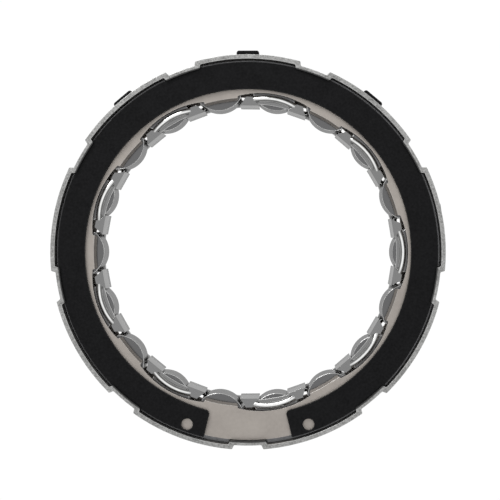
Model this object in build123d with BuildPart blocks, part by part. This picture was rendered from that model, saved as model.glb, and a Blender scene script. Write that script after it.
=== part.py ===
"""Sprag clutch: a lugged drum with its race, a caged ring of eighteen sprags and two snap rings.

The clutch axis is +Z and the origin is on it, halfway along the drum. The front is the +Z side, and the +Y
direction points to the middle of a lug. All sizes are in millimetres.
"""

import os
from math import cos, degrees, radians, sin, sqrt

from build123d import *

# Sprags. The inner cam grips the shaft or inner race, the outer cam rides on the race bore.
sprag_count = 18
sprag_length = 16.0
sprag_height = 10.5
inner_cam_radius = 8.05
outer_cam_radius = 8.0
cam_offset = 1.8
sprag_corner = 0.8
cam_clearance = 0.1
sprag_end_clearance = 0.1

# Race and the drum around it. The drum is thin and its lugs are hollow, so the race is keyed into them.
race_bore_radius = 54.5
race_wall = 2.85
key_clearance = 0.05
shell_wall = 1.3
lug_count = 9
lug_height = 1.3
lug_land_angle = 30.9
lug_flank_angle = 0.5
lug_corner = 0.4
tooth_corner = 0.4

# Snap rings and their grooves.
snap_ring_thickness = 1.6
snap_ring_width = 8.25
groove_depth = 0.5
groove_clearance = 0.05
lip_length = 1.3
snap_ring_gap_angle = 26.8
snap_ring_corner = 1.4
eye_radius = 1.75
eye_edge = 2.3
eye_angle = 19.45

# End plates. Pads hold every other sprag, and the recesses between them take the turns of the cage.
plate_thickness = 2.2
plate_clearance = 0.1
end_play = 0.05
pad_standoff = 2.4
pad_angle = 12.5
pad_bevel = 0.75
pad_corner = 0.5
recess_end_depth = 1.4
recess_crown = 1.1

# Thrust ring behind the rear plate, keyed to the drum by its tabs. It lies loose, towards one side.
thrust_ring_thickness = 1.6
thrust_ring_width = 5.8
thrust_ring_play = 1.4
tab_angle = 6.8
tab_reach = 2.0
tab_corner = 0.8
tab_clearance = 0.1

# Cage. Pillars stand between the sprags, and each turn bridges one sprag at one end.
cage_standoff = 0.9
pillar_height = 2.6
pillar_corner = 0.7
near_pocket_clearance = 0.45
far_pocket_clearance = 1.1
turn_width = 2.0
turn_bevel = 0.6
turn_clearance = 0.55
turn_end_drop = 1.3
turn_half_angle = 10.2
turn_rise = 0.4
pillar_end_drop = 0.3
strip_thickness = 0.7
strip_inset = 0.4

# Garter springs in the sprags' end notches.
spring_coil_radius = 0.8
spring_standoff = 3.5
notch_clearance = 0.7
notch_depth = 2.4

# Radii worked out from the sizes above.
sprag_pitch = 360 / sprag_count
lug_pitch = 360 / lug_count
sprag_reach_radius = race_bore_radius - cam_clearance - sprag_height
inner_cam_centre = sprag_reach_radius + inner_cam_radius
outer_cam_centre_distance = race_bore_radius - cam_clearance - outer_cam_radius
outer_cam_centre = sqrt(outer_cam_centre_distance**2 - cam_offset**2)
race_outer_radius = race_bore_radius + race_wall
shell_bore_radius = race_outer_radius + key_clearance
shell_outer_radius = shell_bore_radius + shell_wall
lug_outer_radius = shell_outer_radius + lug_height
plate_outer_radius = shell_bore_radius - plate_clearance
pad_radius = sprag_reach_radius + pad_standoff
recess_end_radius = pad_radius + recess_end_depth
recess_crown_radius = recess_end_radius + recess_crown
tab_width = 2 * lug_outer_radius * sin(radians(tab_angle / 2))
groove_radius = shell_bore_radius + groove_depth
snap_ring_outer_radius = groove_radius - groove_clearance
snap_ring_inner_radius = snap_ring_outer_radius - snap_ring_width
spring_circle_radius = race_bore_radius - spring_standoff
cage_inner_radius = sprag_reach_radius + cage_standoff
pillar_outer_radius = cage_inner_radius + pillar_height

# Levels along the axis, from the rear face forwards. Pieces in the stack stand end_play apart.
race_length = sprag_length + 2 * (sprag_end_clearance - end_play)
stack_length = race_length + 2 * (plate_thickness + snap_ring_thickness) + thrust_ring_thickness + 5 * end_play
shell_length = stack_length + 2 * (groove_clearance + lip_length)
rear_face_level = -shell_length / 2
rear_ring_level = rear_face_level + lip_length + groove_clearance
thrust_ring_level = rear_ring_level + snap_ring_thickness + end_play
rear_plate_level = thrust_ring_level + thrust_ring_thickness + end_play
race_level = rear_plate_level + plate_thickness + end_play
sprag_level = race_level - end_play + sprag_end_clearance
sprag_front_level = sprag_level + sprag_length
front_plate_level = race_level + race_length + end_play
front_ring_level = front_plate_level + plate_thickness + end_play

# The front turns bridge the sprags at even places, the rear turns those at odd places.
front_turn_angles = [2 * i * sprag_pitch for i in range(sprag_count // 2)]
rear_turn_angles = [(2 * i + 1) * sprag_pitch for i in range(sprag_count // 2)]
first_lug_angle = 90
snap_ring_gap_direction = 270

os.makedirs("parts", exist_ok=True)


def polar(radius, angle):
    """The point at this radius and this angle in degrees."""
    return (radius * cos(radians(angle)), radius * sin(radians(angle)))


def disc_with_lugs(minor_radius, tip_radius, land_angle, base_angle, corner):
    """A disc with a low, wide lug at every lug place. Used for both faces of the drum and for the race."""
    root_radius = minor_radius / 2
    half_land = land_angle / 2
    half_base = base_angle / 2
    with BuildSketch() as outline:
        Circle(minor_radius)
        for i in range(lug_count):
            middle = first_lug_angle + i * lug_pitch
            with BuildLine():
                Polyline(
                    polar(tip_radius, middle - half_land),
                    polar(minor_radius, middle - half_base),
                    polar(root_radius, middle),
                    polar(minor_radius, middle + half_base),
                    polar(tip_radius, middle + half_land),
                )
                ThreePointArc(
                    polar(tip_radius, middle - half_land),
                    polar(tip_radius, middle),
                    polar(tip_radius, middle + half_land),
                )
            make_face()
        fillet(outline.vertices(), corner)
    return outline.sketch


def drum_outline():
    """The outside of the drum."""
    base_angle = lug_land_angle + 2 * lug_flank_angle
    return disc_with_lugs(shell_outer_radius, lug_outer_radius, lug_land_angle, base_angle, lug_corner)


def hollow_outline(gap):
    """The inside of the drum, moved inwards by a gap so that it also gives the race that fits it."""
    flank_angle = degrees((shell_wall + gap) / lug_outer_radius)
    land_angle = lug_land_angle - 2 * flank_angle
    base_angle = land_angle + 2 * lug_flank_angle
    tip_radius = shell_outer_radius - gap
    return disc_with_lugs(shell_bore_radius - gap, tip_radius, land_angle, base_angle, tooth_corner)


# Outer shell: the rolled drum, with a snap ring groove near each end and rear notches for the tabs.
with BuildPart() as outer_shell:
    with BuildSketch(Plane.XY.offset(rear_face_level)):
        add(drum_outline())
        add(hollow_outline(0), mode=Mode.SUBTRACT)
    extrude(amount=shell_length)
    for groove_level in (rear_ring_level - groove_clearance, front_ring_level - groove_clearance):
        with BuildSketch(Plane.XY.offset(groove_level)):
            Circle(groove_radius)
        extrude(amount=snap_ring_thickness + 2 * groove_clearance, mode=Mode.SUBTRACT)
    with BuildSketch(Plane.XY.offset(rear_face_level)):
        with PolarLocations(lug_outer_radius, lug_count, start_angle=first_lug_angle):
            Rectangle(4 * (lug_height + shell_wall), tab_width + 2 * (thrust_ring_play + tab_clearance))
    extrude(amount=rear_plate_level - rear_face_level, mode=Mode.SUBTRACT)
outer_shell.part.label = "outer_shell"
export_step(outer_shell.part, "parts/outer_shell.step")


# Outer race: the hardened ring that the outer cams ride on, with teeth in the hollow lugs.
with BuildPart() as outer_race:
    with BuildSketch(Plane.XY.offset(race_level)):
        add(hollow_outline(key_clearance))
        Circle(race_bore_radius, mode=Mode.SUBTRACT)
    extrude(amount=race_length)
outer_race.part.label = "outer_race"
export_step(outer_race.part, "parts/outer_race.step")


def snap_ring(level):
    """A flat open ring with radial ends, round inner corners and a plier eye near each end."""
    half_gap = snap_ring_gap_angle / 2
    beyond = snap_ring_outer_radius / cos(radians(half_gap))
    with BuildPart() as ring:
        with BuildSketch(Plane.XY.offset(level)) as outline:
            Circle(snap_ring_outer_radius)
            Circle(snap_ring_inner_radius, mode=Mode.SUBTRACT)
            with BuildLine():
                Polyline(
                    (0, 0),
                    polar(beyond, snap_ring_gap_direction - half_gap),
                    polar(beyond, snap_ring_gap_direction + half_gap),
                    close=True,
                )
            make_face(mode=Mode.SUBTRACT)
            gap_middle = Vertex(*polar(snap_ring_inner_radius, snap_ring_gap_direction))
            fillet(outline.vertices().sort_by_distance(gap_middle)[:2], snap_ring_corner)
            for side in (-1, 1):
                eye_direction = snap_ring_gap_direction + side * eye_angle
                with Locations(polar(snap_ring_outer_radius - eye_edge, eye_direction)):
                    Circle(eye_radius, mode=Mode.SUBTRACT)
        extrude(amount=snap_ring_thickness)
    return ring


# Front and rear snap rings: they hold the stack of plates and race in the drum.
front_snap_ring = snap_ring(front_ring_level)
front_snap_ring.part.label = "front_snap_ring"
export_step(front_snap_ring.part, "parts/front_snap_ring.step")

rear_snap_ring = snap_ring(rear_ring_level)
rear_snap_ring.part.label = "rear_snap_ring"
export_step(rear_snap_ring.part, "parts/rear_snap_ring.step")


# Thrust ring: a flat ring whose tabs pass through the rear notches of the lugs. It rests towards +Y.
thrust_ring_outer_radius = shell_bore_radius - thrust_ring_play
thrust_ring_centre = (0, thrust_ring_play - plate_clearance, thrust_ring_level)
with BuildPart() as thrust_ring:
    with BuildSketch(Plane(thrust_ring_centre)) as thrust_outline:
        Circle(thrust_ring_outer_radius)
        with PolarLocations(0, lug_count, start_angle=first_lug_angle):
            Rectangle(lug_outer_radius + tab_reach, tab_width, align=(Align.MIN, Align.CENTER))
        fillet(thrust_outline.vertices().group_by(SortBy.DISTANCE)[-1], tab_corner)
        Circle(thrust_ring_outer_radius - thrust_ring_width, mode=Mode.SUBTRACT)
    extrude(amount=thrust_ring_thickness)
thrust_ring.part.label = "thrust_ring"
export_step(thrust_ring.part, "parts/thrust_ring.step")


def end_plate(level, recess_angles, bevel_level, bevel_rear_radius, bevel_front_radius):
    """A flat ring with pads, and arched recesses where the cage turns. The bevel is on its outer face."""
    half_recess = sprag_pitch - pad_angle / 2
    with BuildPart() as plate:
        with BuildSketch(Plane.XY.offset(level)) as outline:
            Circle(plate_outer_radius)
            Circle(pad_radius, mode=Mode.SUBTRACT)
            for middle in recess_angles:
                with BuildLine():
                    Polyline(
                        polar(recess_end_radius, middle - half_recess),
                        polar(cage_inner_radius, middle - half_recess),
                        polar(cage_inner_radius, middle + half_recess),
                        polar(recess_end_radius, middle + half_recess),
                    )
                    ThreePointArc(
                        polar(recess_end_radius, middle - half_recess),
                        polar(recess_crown_radius, middle),
                        polar(recess_end_radius, middle + half_recess),
                    )
                make_face(mode=Mode.SUBTRACT)
            corners = ShapeList()
            for middle in recess_angles:
                for radius in (pad_radius, recess_end_radius):
                    for side in (-1, 1):
                        corner_place = Vertex(*polar(radius, middle + side * half_recess))
                        corners.append(outline.vertices().sort_by_distance(corner_place)[0])
            fillet(corners, pad_corner)
        extrude(amount=plate_thickness)
        with Locations((0, 0, bevel_level)):
            Cone(
                bevel_rear_radius,
                bevel_front_radius,
                pad_bevel,
                align=(Align.CENTER, Align.CENTER, Align.MIN),
                mode=Mode.SUBTRACT,
            )
    return plate


# Front end plate: its recesses take the front turns of the cage, so the two turn together.
front_end_plate = end_plate(
    front_plate_level,
    front_turn_angles,
    front_plate_level + plate_thickness - pad_bevel,
    pad_radius,
    pad_radius + pad_bevel,
)
front_end_plate.part.label = "front_end_plate"
export_step(front_end_plate.part, "parts/front_end_plate.step")

# Rear end plate: one sprag pitch round, so that its recesses take the rear turns.
rear_end_plate = end_plate(
    rear_plate_level,
    rear_turn_angles,
    rear_plate_level,
    pad_radius + pad_bevel,
    pad_radius,
)
rear_end_plate.part.label = "rear_end_plate"
export_step(rear_end_plate.part, "parts/rear_end_plate.step")


# One front turn of the cage: an arched bar with a bevelled crest, and the flat strip on its inner side.
turn_crown_radius = recess_crown_radius - turn_clearance - turn_width / 2
turn_start = polar(turn_crown_radius - turn_end_drop, -turn_half_angle)
turn_end = polar(turn_crown_radius - turn_end_drop, turn_half_angle)
strip_radius = cage_inner_radius + strip_inset
with BuildPart() as turn:
    with BuildSketch(Plane.XY.offset(front_plate_level + strip_thickness / 2)):
        SlotArc(ThreePointArc(turn_start, (turn_crown_radius, 0), turn_end), turn_width)
    extrude(amount=plate_thickness + turn_rise - strip_thickness / 2)
    chamfer(turn.faces().sort_by(Axis.Z)[-1].edges(), turn_bevel)
    with BuildSketch(Plane.XY.offset(front_plate_level)):
        with BuildLine():
            ThreePointArc(turn_start, (turn_crown_radius, 0), turn_end)
            Line(turn_end, polar(strip_radius, turn_half_angle))
            ThreePointArc(
                polar(strip_radius, turn_half_angle),
                (strip_radius, 0),
                polar(strip_radius, -turn_half_angle),
            )
            Line(polar(strip_radius, -turn_half_angle), turn_start)
        make_face()
    extrude(amount=strip_thickness)

# Cage: pillars fill the gaps between the sprags, close to the sprags that a front turn bridges.
middle_plane = Plane.XY.offset(sprag_level + sprag_length / 2)
rear_turn = turn.part.mirror(middle_plane)
with BuildPart() as sprag_cage:
    with BuildSketch(Plane.XY.offset(rear_plate_level + pillar_end_drop)) as pillars:
        Circle(pillar_outer_radius)
        Circle(cage_inner_radius, mode=Mode.SUBTRACT)
        with PolarLocations(inner_cam_centre, sprag_count // 2):
            Circle(inner_cam_radius + near_pocket_clearance, mode=Mode.SUBTRACT)
        with PolarLocations(inner_cam_centre, sprag_count // 2, start_angle=sprag_pitch):
            Circle(inner_cam_radius + far_pocket_clearance, mode=Mode.SUBTRACT)
        inner_corners = [v for v in pillars.vertices() if v.distance_to((0, 0, v.Z)) < strip_radius]
        fillet(inner_corners, pillar_corner)
    extrude(amount=front_plate_level + plate_thickness - rear_plate_level - 2 * pillar_end_drop)
    for turn_angle in front_turn_angles:
        add(turn.part, rotation=(0, 0, turn_angle))
    for turn_angle in rear_turn_angles:
        add(rear_turn, rotation=(0, 0, turn_angle))
sprag_cage.part.label = "sprag_cage"
export_step(sprag_cage.part, "parts/sprag_cage.step")


def garter_spring(level):
    """The eight-sided envelope of a closed coil spring lying in the sprags' end notches."""
    with BuildPart() as spring:
        with BuildSketch(Plane.XZ):
            with Locations((spring_circle_radius, level)):
                RegularPolygon(spring_coil_radius, 8)
        revolve(axis=Axis.Z)
    return spring


# Garter springs: one at each end, at the middle of the notches' depth.
front_garter_spring = garter_spring(sprag_front_level - notch_depth / 2)
front_garter_spring.part.label = "front_garter_spring"
export_step(front_garter_spring.part, "parts/front_garter_spring.step")

rear_garter_spring = garter_spring(sprag_level + notch_depth / 2)
rear_garter_spring.part.label = "rear_garter_spring"
export_step(rear_garter_spring.part, "parts/rear_garter_spring.step")


def sprag_at(angle):
    """One sprag at rest. Its cam centres are offset, so rocking it changes its height in the race."""
    notch_half_width = spring_coil_radius + notch_clearance
    spring_sagitta = spring_circle_radius - sqrt(spring_circle_radius**2 - inner_cam_radius**2)
    notch_width = 2 * notch_half_width + spring_sagitta
    with BuildPart() as body:
        with BuildSketch(Plane.XY.offset(sprag_level).rotated((0, 0, angle))) as section:
            with Locations((inner_cam_centre, 0)):
                Circle(inner_cam_radius)
            with Locations((outer_cam_centre, cam_offset)):
                Circle(outer_cam_radius, mode=Mode.INTERSECT)
            corners = section.vertices().sort_by(Axis.Y)
            fillet([corners[0], corners[-1]], sprag_corner)
        extrude(amount=sprag_length)
        for notch_level in (sprag_level, sprag_front_level - notch_depth):
            with BuildSketch(Plane.XY.offset(notch_level).rotated((0, 0, angle))):
                with Locations((spring_circle_radius + notch_half_width, 0)):
                    Rectangle(notch_width, 2 * sprag_height, align=(Align.MAX, Align.CENTER))
            extrude(amount=notch_depth, mode=Mode.SUBTRACT)
    return body


# Sprags: sprag_01 is at the +X side and the numbers run anticlockwise seen from the front.
for number in range(1, sprag_count + 1):
    sprag = sprag_at((number - 1) * sprag_pitch)
    sprag.part.label = f"sprag_{number:02d}"
    export_step(sprag.part, f"parts/sprag_{number:02d}.step")
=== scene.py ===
from math import acos, asin, atan2, cos, pi, radians, sin

import bmesh
import bpy
from mathutils import Matrix, Vector


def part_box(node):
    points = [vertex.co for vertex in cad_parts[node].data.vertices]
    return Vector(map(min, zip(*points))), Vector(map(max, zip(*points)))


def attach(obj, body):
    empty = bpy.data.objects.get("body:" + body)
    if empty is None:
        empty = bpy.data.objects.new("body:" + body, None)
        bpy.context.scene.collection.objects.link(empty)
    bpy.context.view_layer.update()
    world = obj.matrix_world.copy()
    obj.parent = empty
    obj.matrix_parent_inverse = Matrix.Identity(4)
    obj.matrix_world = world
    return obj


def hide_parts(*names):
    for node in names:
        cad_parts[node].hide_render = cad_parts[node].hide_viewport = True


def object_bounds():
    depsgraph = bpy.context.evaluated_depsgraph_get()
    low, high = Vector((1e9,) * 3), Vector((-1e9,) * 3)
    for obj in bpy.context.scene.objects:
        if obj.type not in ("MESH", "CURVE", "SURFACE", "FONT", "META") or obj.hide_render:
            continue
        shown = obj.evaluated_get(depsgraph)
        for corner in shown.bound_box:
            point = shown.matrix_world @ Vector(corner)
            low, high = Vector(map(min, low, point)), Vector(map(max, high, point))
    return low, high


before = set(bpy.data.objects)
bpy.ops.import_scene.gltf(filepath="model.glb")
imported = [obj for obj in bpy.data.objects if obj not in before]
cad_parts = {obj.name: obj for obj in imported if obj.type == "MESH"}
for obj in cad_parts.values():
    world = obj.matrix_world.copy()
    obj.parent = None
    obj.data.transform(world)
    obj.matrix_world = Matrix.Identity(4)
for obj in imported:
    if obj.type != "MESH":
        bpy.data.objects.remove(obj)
cad_low, cad_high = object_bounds()


# Studio. The clutch lies on its rear face on a plain white table, under a large soft light overhead
# that falls off towards the sides, and the camera looks almost straight down the clutch axis.
def add_node(tree, kind, inputs=None, **settings):
    """A node with its settings made and its sockets filled or linked."""
    made = tree.nodes.new(kind)
    for name, value in settings.items():
        setattr(made, name, value)
    for socket, value in (inputs or {}).items():
        if isinstance(value, bpy.types.NodeSocket):
            tree.links.new(value, made.inputs[socket])
        else:
            made.inputs[socket].default_value = value
    return made


def set_ramp(ramp_node, stops):
    """Gives a colour ramp its stops, each a place and a grey level."""
    elements = ramp_node.color_ramp.elements
    while len(elements) < len(stops):
        elements.new(0.5)
    for element, (place, level) in zip(elements, stops):
        element.position = place
        element.color = (level, level, level, 1)


def mesh_object(name, bm, material):
    """An object at the origin with this mesh and material."""
    mesh = bpy.data.meshes.new(name)
    bm.to_mesh(mesh)
    bm.free()
    mesh.materials.append(material)
    made = bpy.data.objects.new(name, mesh)
    bpy.context.scene.collection.objects.link(made)
    return made


scene = bpy.context.scene
scene.view_settings.view_transform = "Standard"
world = bpy.data.worlds.new("soft_overhead_light")
scene.world = world
world.use_nodes = True
sky = world.node_tree
sky.nodes.clear()
direction = add_node(sky, "ShaderNodeTexCoord")
height = add_node(sky, "ShaderNodeSeparateXYZ", {0: direction.outputs["Generated"]})
falloff = add_node(sky, "ShaderNodeValToRGB", {0: height.outputs["Z"]})
set_ramp(falloff, [(0.0, 0.3), (0.35, 0.16), (0.7, 0.16), (0.84, 0.45), (0.93, 1.0), (1.0, 1.0)])
background = add_node(sky, "ShaderNodeBackground", {"Color": falloff.outputs["Color"], "Strength": 1.12})
add_node(sky, "ShaderNodeOutputWorld", {"Surface": background.outputs[0]})

table_material = bpy.data.materials.new("white_table")
table_material.use_nodes = True
table_tree = table_material.node_tree
table_tree.nodes.clear()
ray = add_node(table_tree, "ShaderNodeLightPath")
seen_white = add_node(table_tree, "ShaderNodeEmission", {"Color": (1, 1, 1, 1), "Strength": 1.02})
reflected_grey = add_node(table_tree, "ShaderNodeEmission", {"Color": (1, 1, 1, 1), "Strength": 0.42})
table_look = add_node(
    table_tree,
    "ShaderNodeMixShader",
    {0: ray.outputs["Is Camera Ray"], 1: reflected_grey.outputs[0], 2: seen_white.outputs[0]},
)
add_node(table_tree, "ShaderNodeOutputMaterial", {"Surface": table_look.outputs[0]})
bm = bmesh.new()
table_radius = 3.0
bmesh.ops.create_circle(bm, cap_ends=True, radius=table_radius, segments=96)
table_gap = 0.0002
bmesh.ops.translate(bm, verts=bm.verts, vec=(0, 0, cad_low[2] - table_gap))
mesh_object("table", bm, table_material)

key_light = bpy.data.lights.new("key_light", "AREA")
key_light.energy = 4.0
key_light.size = 0.5
key_lamp = bpy.data.objects.new("key_lamp", key_light)
scene.collection.objects.link(key_lamp)
key_lamp.location = (-0.35, 0.75, 0.75)
key_lamp.rotation_euler = key_lamp.location.to_track_quat("Z", "Y").to_euler()

camera_data = bpy.data.cameras.new("camera")
camera_data.sensor_width = 36
camera_data.lens = 142.5
camera = bpy.data.objects.new("camera", camera_data)
scene.collection.objects.link(camera)
camera_distance = 0.6
camera_tilt_x = radians(1.05)
camera_tilt_y = radians(0.5)
aim = Vector((0.00071, 0.00069, cad_high[2]))
towards_camera = Vector((sin(camera_tilt_x), sin(camera_tilt_y), cos(camera_tilt_x))).normalized()
camera_right = Vector((0, 1, 0)).cross(towards_camera).normalized()
camera_up = towards_camera.cross(camera_right)
camera.location = aim + camera_distance * towards_camera
camera.rotation_euler = Matrix((camera_right, camera_up, towards_camera)).transposed().to_euler()
scene.camera = camera


# Outer shell: a thin rolled drum with nine hollow lugs, bead-blasted to a light speckled grey.
# The edges left by the press are rounded and rubbed bright.
def group_socket(tree, name, kind, way, value=None):
    """A named socket on a node group."""
    socket = tree.interface.new_socket(name=name, in_out=way, socket_type=kind)
    if value is not None:
        socket.default_value = value


def grain_group():
    """Fine and coarse grain of a metal surface, in straight or stretched grains."""
    tree = bpy.data.node_groups.new("metal_grain", "ShaderNodeTree")
    group_socket(tree, "Grain Size", "NodeSocketVector", "INPUT", (1, 1, 1))
    group_socket(tree, "Fine", "NodeSocketFloat", "OUTPUT")
    group_socket(tree, "Coarse", "NodeSocketFloat", "OUTPUT")
    given = add_node(tree, "NodeGroupInput")
    place = add_node(tree, "ShaderNodeTexCoord")
    grains = add_node(
        tree, "ShaderNodeVectorMath", {0: place.outputs["Object"], 1: given.outputs[0]}, operation="DIVIDE"
    )
    grained = grains.outputs[0]
    fine = add_node(tree, "ShaderNodeTexNoise", {"Vector": grained, "Scale": 1.0, "Detail": 3.0})
    coarse = add_node(tree, "ShaderNodeTexNoise", {"Vector": grained, "Scale": 0.11, "Detail": 4.0})
    add_node(tree, "NodeGroupOutput", {0: fine.outputs[0], 1: coarse.outputs[0]})
    return tree


def rubbed_edge_group():
    """How far an edge is rubbed bright: its rounded faces, broken up a little."""
    tree = bpy.data.node_groups.new("rubbed_edge", "ShaderNodeTree")
    group_socket(tree, "Patch Size", "NodeSocketFloat", "INPUT", 0.003)
    group_socket(tree, "Mask", "NodeSocketFloat", "OUTPUT")
    given = add_node(tree, "NodeGroupInput")
    edge = add_node(tree, "ShaderNodeAttribute", attribute_name="rubbed")
    place = add_node(tree, "ShaderNodeTexCoord")
    scale = add_node(tree, "ShaderNodeMath", {0: 1.0, 1: given.outputs[0]}, operation="DIVIDE")
    patches = add_node(
        tree, "ShaderNodeTexNoise", {"Vector": place.outputs["Object"], "Scale": scale.outputs[0]}
    )
    amount = add_node(
        tree,
        "ShaderNodeMapRange",
        {"Value": patches.outputs[0], "From Min": 0.3, "From Max": 0.6, "To Min": 0.35, "To Max": 1.0},
    )
    mask = add_node(
        tree, "ShaderNodeMath", {0: edge.outputs["Fac"], 1: amount.outputs[0]}, operation="MULTIPLY"
    )
    add_node(tree, "NodeGroupOutput", {0: mask.outputs[0]})
    return tree


metal_grain = grain_group()
rubbed_edge = rubbed_edge_group()


def steel_finish(
    name, dark, light, edge_colour, grain_size, roughness, edge_roughness, relief, contrast=(0.35, 0.65)
):
    """A steel surface: grained colour and roughness, slight relief, and rubbed edges."""
    material = bpy.data.materials.new(name)
    material.use_nodes = True
    tree = material.node_tree
    shader = tree.nodes["Principled BSDF"]
    shader.inputs["Metallic"].default_value = 1.0
    grain = add_node(tree, "ShaderNodeGroup", node_tree=metal_grain)
    grain.inputs["Grain Size"].default_value = grain_size
    edge = add_node(tree, "ShaderNodeGroup", node_tree=rubbed_edge)
    blend = add_node(
        tree, "ShaderNodeMath", {0: grain.outputs["Fine"], 1: grain.outputs["Coarse"]}, operation="ADD"
    )
    half = add_node(
        tree,
        "ShaderNodeMapRange",
        {"Value": blend.outputs[0], "From Min": 2 * contrast[0], "From Max": 2 * contrast[1]},
    )
    surface = add_node(
        tree,
        "ShaderNodeMix",
        {0: half.outputs[0], 6: (*dark, 1), 7: (*light, 1)},
        data_type="RGBA",
    )
    colour = add_node(
        tree,
        "ShaderNodeMix",
        {0: edge.outputs["Mask"], 6: surface.outputs[2], 7: (*edge_colour, 1)},
        data_type="RGBA",
    )
    surface_roughness = add_node(
        tree,
        "ShaderNodeMapRange",
        {
            "Value": grain.outputs["Coarse"],
            "From Min": 0.3,
            "From Max": 0.7,
            "To Min": roughness[0],
            "To Max": roughness[1],
        },
    )
    final_roughness = add_node(
        tree,
        "ShaderNodeMix",
        {0: edge.outputs["Mask"], 2: surface_roughness.outputs[0], 3: edge_roughness},
    )
    bump = add_node(
        tree, "ShaderNodeBump", {"Height": grain.outputs["Fine"], "Distance": relief, "Strength": 0.6}
    )
    tree.links.new(colour.outputs[2], shader.inputs["Base Color"])
    tree.links.new(final_roughness.outputs[0], shader.inputs["Roughness"])
    tree.links.new(bump.outputs[0], shader.inputs["Normal"])
    return material


def shade_where(material, mask, colour):
    """Blends a colour over the finish where the mask is one."""
    tree = material.node_tree
    base = tree.nodes["Principled BSDF"].inputs["Base Color"]
    under = base.links[0].from_socket
    over = add_node(tree, "ShaderNodeMix", {0: mask, 6: under, 7: (*colour, 1)}, data_type="RGBA")
    tree.links.new(over.outputs[2], base)


def round_edges(bm, width, segments=2, sharp_angle=radians(28)):
    """Rounds the sharp edges, marks the rounded faces as rubbed and smooths the shading."""
    rubbed = bm.faces.layers.float.new("rubbed")
    flat_end = bm.faces.layers.float.new("flat_end")
    sharp = [e for e in bm.edges if e.is_manifold and e.calc_face_angle(0) > sharp_angle]
    rounded = bmesh.ops.bevel(
        bm,
        geom=sharp,
        offset=width,
        offset_type="OFFSET",
        segments=segments,
        profile=0.5,
        affect="EDGES",
        clamp_overlap=True,
        material=-1,
    )
    for face in rounded["faces"]:
        face[rubbed] = 1.0
    for face in bm.faces:
        face.smooth = True
        face[flat_end] = float(abs(face.normal.z) > 0.98)
    for edge in bm.edges:
        edge.smooth = edge.calc_face_angle(0) < radians(44)


def finish_solid(node, body, width, material, segments=2, rests=(0, 0, 0)):
    """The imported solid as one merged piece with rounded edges, standing for its node."""
    bm = bmesh.new()
    bm.from_mesh(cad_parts[node].data)
    bmesh.ops.remove_doubles(bm, verts=bm.verts, dist=1e-6)
    bmesh.ops.dissolve_limit(bm, angle_limit=radians(0.5), verts=bm.verts, edges=bm.edges)
    round_edges(bm, width, segments)
    bmesh.ops.translate(bm, verts=bm.verts, vec=rests)
    piece = mesh_object(f"{node}_finished", bm, material)
    piece.modifiers.new("flat_faces", "WEIGHTED_NORMAL").keep_sharp = True
    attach(piece, body)
    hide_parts(node)
    return piece


drum_finish = steel_finish(
    "blasted_drum_steel",
    dark=(0.2, 0.2, 0.195),
    light=(0.62, 0.62, 0.61),
    edge_colour=(0.66, 0.66, 0.65),
    grain_size=(0.0005, 0.0005, 0.0005),
    roughness=(0.42, 0.6),
    edge_roughness=0.3,
    relief=0.00006,
)
# The lip of the bore, between these two radii, is darkened with painted shadow where it meets the snap ring.
bore_edge_inner = 0.0577
bore_edge_outer = 0.05795
drum_tree = drum_finish.node_tree
drum_place = add_node(drum_tree, "ShaderNodeTexCoord")
drum_flat = add_node(
    drum_tree, "ShaderNodeVectorMath", {0: drum_place.outputs["Object"], 1: (1, 1, 0)}, operation="MULTIPLY"
)
drum_radius = add_node(drum_tree, "ShaderNodeVectorMath", {0: drum_flat.outputs[0]}, operation="LENGTH")
bore_edge = add_node(
    drum_tree,
    "ShaderNodeMapRange",
    {
        "Value": drum_radius.outputs["Value"],
        "From Min": bore_edge_inner,
        "From Max": bore_edge_outer,
        "To Min": 1.0,
        "To Max": 0.0,
    },
)
# Painted shadow: the lip of the bore goes nearly black.
shade_where(drum_finish, bore_edge.outputs[0], (0.06, 0.06, 0.06))
finish_solid("outer_shell", "race_unit", width=0.00012, material=drum_finish)


# Outer race: the hardened steel ring between the plates, ground on its bore where the sprags ride.
# Its teeth key it into the hollow lugs of the drum; its dark colour stands partly for blacking and partly for
# painted shade in the lugs.
race_finish = steel_finish(
    "ground_race_steel",
    dark=(0.12, 0.12, 0.125),
    light=(0.2, 0.2, 0.205),
    edge_colour=(0.35, 0.35, 0.35),
    grain_size=(0.0012, 0.0012, 0.0001),
    roughness=(0.24, 0.36),
    edge_roughness=0.22,
    relief=0.00001,
)
finish_solid("outer_race", "race_unit", width=0.00015, material=race_finish)


# Snap rings and thrust ring: flat spring steel, blacked all over, with edges worn a little lighter.
# The snap rings spring into the drum's grooves. The thrust ring lies loose, 0.4 mm off its own node.
oxide_finish = steel_finish(
    "black_oxide_steel",
    dark=(0.011, 0.011, 0.0115),
    light=(0.02, 0.02, 0.021),
    edge_colour=(0.045, 0.045, 0.046),
    grain_size=(0.0007, 0.0007, 0.0007),
    roughness=(0.42, 0.55),
    edge_roughness=0.4,
    relief=0.00003,
)
oxide_edge = 0.00015
for ring in ("front_snap_ring", "rear_snap_ring"):
    finish_solid(ring, "race_unit", width=oxide_edge, material=oxide_finish)
finish_solid(
    "thrust_ring", "race_unit", width=oxide_edge, material=oxide_finish, rests=(-0.0004, 0, 0)
)


# End plates: flat stamped rings, tumbled to a warm grey, with a turned bevel inside the pads.
# They turn with the cage, whose turns lie in their recesses.
plate_finish = steel_finish(
    "tumbled_plate_steel",
    dark=(0.45, 0.415, 0.38),
    light=(0.5, 0.46, 0.425),
    edge_colour=(0.82, 0.8, 0.78),
    grain_size=(0.0011, 0.0011, 0.0011),
    roughness=(0.46, 0.58),
    edge_roughness=0.3,
    relief=0.00002,
)
for plate in ("front_end_plate", "rear_end_plate"):
    finish_solid(plate, "cage_unit", width=0.00013, material=plate_finish)
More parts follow.
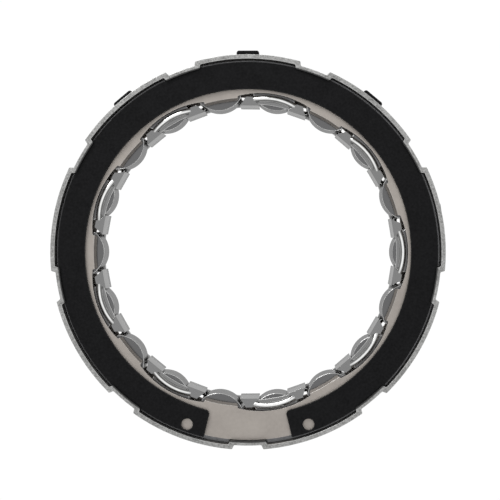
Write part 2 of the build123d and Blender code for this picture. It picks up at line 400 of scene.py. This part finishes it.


# Sprags: eighteen hardened steel wedges, ground on both cams, with a bright rim and flat ends darkened by painted
# shade.
# They stand loose in the cage's pockets, and each rocks on its own body.
sprag_finish = steel_finish(
    "ground_sprag_steel",
    dark=(0.24, 0.24, 0.24),
    light=(0.66, 0.66, 0.66),
    edge_colour=(0.95, 0.95, 0.94),
    grain_size=(0.0024, 0.0024, 0.0006),
    roughness=(0.2, 0.32),
    edge_roughness=0.14,
    relief=0.00001,
)
# Painted shade: the sprags' flat ends are darkened to mid grey.
painted_sprag_end_shade = add_node(sprag_finish.node_tree, "ShaderNodeAttribute", attribute_name="flat_end")
shade_where(sprag_finish, painted_sprag_end_shade.outputs["Fac"], (0.13, 0.13, 0.132))
sprag_count = 18
for number in range(1, sprag_count + 1):
    name = f"sprag_{number:02d}"
    finish_solid(name, f"{name}_body", width=0.0002, material=sprag_finish, segments=3)


# Cage: a closed serpentine of polished stainless steel. Round-crested turns bridge the sprags by
# turns at the front and the rear, a thin strip closes each turn's foot, and pillars join them.
millimetre = 0.001
place_count = sprag_count
place_pitch = 2 * pi / place_count
pocket_centre = 51.95 * millimetre
near_pocket = 8.5 * millimetre
far_pocket = 9.15 * millimetre
cage_inner = 44.8 * millimetre
cage_outer = 47.4 * millimetre
strip_inner = 45.2 * millimetre
strip_thickness = 0.7 * millimetre
crown_radius = 47.25 * millimetre
crown_drop = 1.3 * millimetre
turn_half_angle = radians(10.2)
turn_radius = 1.0 * millimetre
turn_rise = 0.4 * millimetre
end_dip = 1.3 * millimetre
end_dip_power = 2.5
pillar_corner = 1.25 * millimetre
pillar_dome = 0.75 * millimetre
pillar_drop = 0.3 * millimetre
arc_steps = 20

plate_low, plate_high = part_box("front_end_plate")
rear_low, rear_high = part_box("rear_end_plate")
middle_level = (plate_low.z + rear_high.z) / 2
end_x = (crown_radius - crown_drop) * cos(turn_half_angle)
end_y = (crown_radius - crown_drop) * sin(turn_half_angle)
arc_centre = (crown_radius**2 - end_x**2 - end_y**2) / (2 * (crown_radius - end_x))
arc_radius = crown_radius - arc_centre
arc_half = asin(end_y / arc_radius)
turn_depth = plate_high.z + turn_rise - plate_low.z - 2 * turn_radius


def turn_section(bm, whole):
    """The turn's section at its crown: a round crest on straight sides, whole or its outer half."""
    ring = bmesh.ops.create_circle(bm, radius=turn_radius, segments=24)["verts"]
    bmesh.ops.rotate(bm, verts=ring, matrix=Matrix.Rotation(pi / 2, 3, "X"))
    sliver = turn_radius / 1000
    for vert in ring:
        if vert.co.z < -sliver:
            vert.co.z -= turn_depth
    if not whole:
        inner = [v for v in ring if v.co.x < -sliver]
        bmesh.ops.delete(bm, geom=inner, context="VERTS")
        ring = [v for v in ring if v.is_valid]
    bmesh.ops.translate(bm, verts=ring, vec=(crown_radius, 0, plate_high.z + turn_rise - turn_radius))
    return ring


def swept(bm, verts, angle, centre, steps):
    """Spins these points about an upright axis and returns all the points that it makes."""
    before = set(bm.verts) - set(verts)
    edges = [e for e in bm.edges if e.verts[0] in verts and e.verts[1] in verts]
    bmesh.ops.spin(
        bm, geom=list(verts) + edges, cent=centre, axis=(0, 0, 1), dvec=(0, 0, 0), angle=angle, steps=steps,
        use_merge=False, use_duplicate=False,
    )
    return [v for v in bm.verts if v not in before]


def arc(bm, centre, radius, start, sweep, level):
    """A chain of edges along an arc at this level."""
    first = bmesh.ops.create_vert(bm, co=(centre[0] + radius * cos(start), centre[1] + radius * sin(start), level))
    return swept(bm, first["vert"], sweep, (*centre, level), arc_steps)


def slab(bm, one, other, thickness):
    """A flat slab between two chains, raised by a thickness."""
    edges = [e for e in bm.edges if set(e.verts) <= set(one) or set(e.verts) <= set(other)]
    faces = bmesh.ops.bridge_loops(bm, edges=edges)["faces"]
    raised = bmesh.ops.extrude_face_region(bm, geom=faces, use_keep_orig=True)["geom"]
    verts = [g for g in raised if isinstance(g, bmesh.types.BMVert)]
    bmesh.ops.translate(bm, verts=verts, vec=(0, 0, thickness))


def turn_piece():
    """One front turn at +X."""
    bm = bmesh.new()
    section = turn_section(bm, True)
    bmesh.ops.rotate(
        bm, verts=section, cent=(arc_centre, 0, 0), matrix=Matrix.Rotation(-arc_half, 3, "Z")
    )
    swept(bm, section, 2 * arc_half, (arc_centre, 0, 0), arc_steps)
    for side in (-1, 1):
        half = turn_section(bm, False)
        cap = swept(bm, half, side * pi, (crown_radius, 0, 0), 12)
        to_end = Matrix.Rotation(side * arc_half, 3, "Z")
        bmesh.ops.rotate(bm, verts=cap, cent=(arc_centre, 0, 0), matrix=to_end)
    bmesh.ops.remove_doubles(bm, verts=bm.verts, dist=1e-6)
    bmesh.ops.recalc_face_normals(bm, faces=bm.faces)
    for vert in bm.verts:
        share = abs(atan2(vert.co.y, vert.co.x - arc_centre)) / arc_half
        crest = max(0.0, vert.co.z - plate_low.z) / (plate_high.z + turn_rise - plate_low.z)
        vert.co.z -= end_dip * crest * share**end_dip_power
    for face in bm.faces:
        face.smooth = True
    return bm


def strip_piece():
    """The flat strip at the foot of one front turn at +X."""
    bm = bmesh.new()
    outer = arc(bm, (arc_centre, 0), arc_radius, -arc_half, 2 * arc_half, plate_low.z)
    inner = arc(bm, (0, 0), strip_inner, -turn_half_angle, 2 * turn_half_angle, plate_low.z)
    slab(bm, outer, inner, strip_thickness)
    bmesh.ops.recalc_face_normals(bm, faces=bm.faces)
    round_edges(bm, 0.00012)
    return bm


def pocket_angle(pocket, radius):
    """The angle at a pocket's centre between the clutch axis and the pocket wall at this radius."""
    return acos((pocket_centre**2 + pocket**2 - radius**2) / (2 * pocket_centre * pocket))


def pillar_piece():
    """The pillar between the first sprag and the next, from the rear plate to the front plate."""
    bm = bmesh.new()
    foot = rear_low.z + pillar_drop
    near = (pocket_angle(near_pocket, cage_inner), pocket_angle(near_pocket, cage_outer))
    far = (pocket_angle(far_pocket, cage_inner), pocket_angle(far_pocket, cage_outer))
    first = arc(bm, (pocket_centre, 0), near_pocket, pi - near[0], near[0] - near[1], foot)
    far_centre = (pocket_centre * cos(place_pitch), pocket_centre * sin(place_pitch))
    second = arc(bm, far_centre, far_pocket, pi + place_pitch + far[0], far[1] - far[0], foot)
    slab(bm, first, second, plate_high.z - rear_low.z - 2 * pillar_drop)
    bmesh.ops.recalc_face_normals(bm, faces=bm.faces)
    upright = [e for e in bm.edges if abs(e.verts[0].co.z - e.verts[1].co.z) > pillar_dome]
    corners = [
        e for e in upright if e.calc_face_angle(0) > radians(60) and e.verts[0].co.xy.length < strip_inner
    ]
    bmesh.ops.bevel(
        bm, geom=corners, offset=pillar_corner, offset_type="OFFSET", segments=5, profile=0.5, affect="EDGES",
        clamp_overlap=True, material=-1,
    )
    round_edges(bm, pillar_dome, segments=5, sharp_angle=radians(60))
    return bm


def add_turned(whole, piece, angles, mirrored=False):
    """Adds copies of a piece at these angles, turned over about the middle for the rear."""
    mesh = bpy.data.meshes.new("copy")
    piece.to_mesh(mesh)
    for angle in angles:
        before = set(whole.verts)
        whole.from_mesh(mesh)
        new = [v for v in whole.verts if v not in before]
        if mirrored:
            for vert in new:
                vert.co.z = 2 * middle_level - vert.co.z
            faces = {f for v in new for f in v.link_faces}
            bmesh.ops.reverse_faces(whole, faces=list(faces))
        bmesh.ops.rotate(whole, verts=new, matrix=Matrix.Rotation(angle, 3, "Z"))
    bpy.data.meshes.remove(mesh)


cage_finish = steel_finish(
    "polished_stainless",
    dark=(0.7, 0.7, 0.69),
    light=(0.86, 0.86, 0.85),
    edge_colour=(0.9, 0.9, 0.89),
    grain_size=(0.0016, 0.0016, 0.0016),
    roughness=(0.1, 0.18),
    edge_roughness=0.12,
    relief=0.000015,
)
# Painted shade: the cage's flat faces are darkened to a dark grey.
painted_cage_end_shade = add_node(cage_finish.node_tree, "ShaderNodeAttribute", attribute_name="flat_end")
shade_where(cage_finish, painted_cage_end_shade.outputs["Fac"], (0.2, 0.2, 0.2))
cage_mesh = bmesh.new()
even = [2 * i * place_pitch for i in range(place_count // 2)]
odd = [(2 * i + 1) * place_pitch for i in range(place_count // 2)]
bar = turn_piece()
foot_strip = strip_piece()
pillar = pillar_piece()
for piece in (bar, foot_strip):
    add_turned(cage_mesh, piece, even)
    add_turned(cage_mesh, piece, odd, mirrored=True)
add_turned(cage_mesh, pillar, even)
bmesh.ops.scale(pillar, verts=pillar.verts, vec=(1, -1, 1))
bmesh.ops.reverse_faces(pillar, faces=pillar.faces)
add_turned(cage_mesh, pillar, even)
cage = mesh_object("polished_cage", cage_mesh, cage_finish)
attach(cage, "cage_unit")
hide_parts("sprag_cage")


# Garter springs: a closed coil of fine spring wire at each end, lying in the sprags' end notches.
# Each is wound as a straight coil and then joined end to end round the clutch.
coil_turns = 400
coil_steps = 8
wire_radius = 0.25 * millimetre
coil_radius = 0.8 * millimetre - wire_radius
spring_finish = steel_finish(
    "bright_spring_steel",
    dark=(0.3, 0.3, 0.3),
    light=(0.45, 0.45, 0.45),
    edge_colour=(0.6, 0.6, 0.6),
    grain_size=(0.0006, 0.0006, 0.0006),
    roughness=(0.25, 0.35),
    edge_roughness=0.2,
    relief=0.00001,
)
for spring in ("front_garter_spring", "rear_garter_spring"):
    spring_low, spring_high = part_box(spring)
    spring_level = (spring_low.z + spring_high.z) / 2
    spring_radius = spring_high.x - coil_radius - wire_radius
    round_length = 2 * pi * spring_radius
    pitch = round_length / coil_turns
    one_turn = bmesh.new()
    wire = bmesh.ops.create_circle(one_turn, radius=wire_radius, segments=5)["verts"]
    bmesh.ops.translate(one_turn, verts=wire, vec=(coil_radius, 0, 0))
    bmesh.ops.spin(
        one_turn, geom=list(one_turn.verts) + list(one_turn.edges), cent=(0, 0, 0), axis=(0, 1, 0),
        dvec=(0, pitch / coil_steps, 0), angle=2 * pi, steps=coil_steps, use_merge=False, use_duplicate=False,
    )
    turn_mesh = bpy.data.meshes.new("one_turn")
    one_turn.to_mesh(turn_mesh)
    one_turn.free()
    bm = bmesh.new()
    for _ in range(coil_turns):
        bm.from_mesh(turn_mesh)
    bm.verts.index_update()
    for vert in bm.verts:
        vert.co.y += pitch * (vert.index // len(turn_mesh.vertices))
    bpy.data.meshes.remove(turn_mesh)
    for vert in bm.verts:
        turned = vert.co.y / spring_radius
        reach = spring_radius + vert.co.x
        vert.co = (reach * cos(turned), reach * sin(turned), spring_level + vert.co.z)
    bmesh.ops.remove_doubles(bm, verts=bm.verts, dist=1e-6)
    bmesh.ops.recalc_face_normals(bm, faces=bm.faces)
    for face in bm.faces:
        face.smooth = True
    coil = mesh_object(f"{spring}_coil", bm, spring_finish)
    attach(coil, "cage_unit")
    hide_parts(spring)
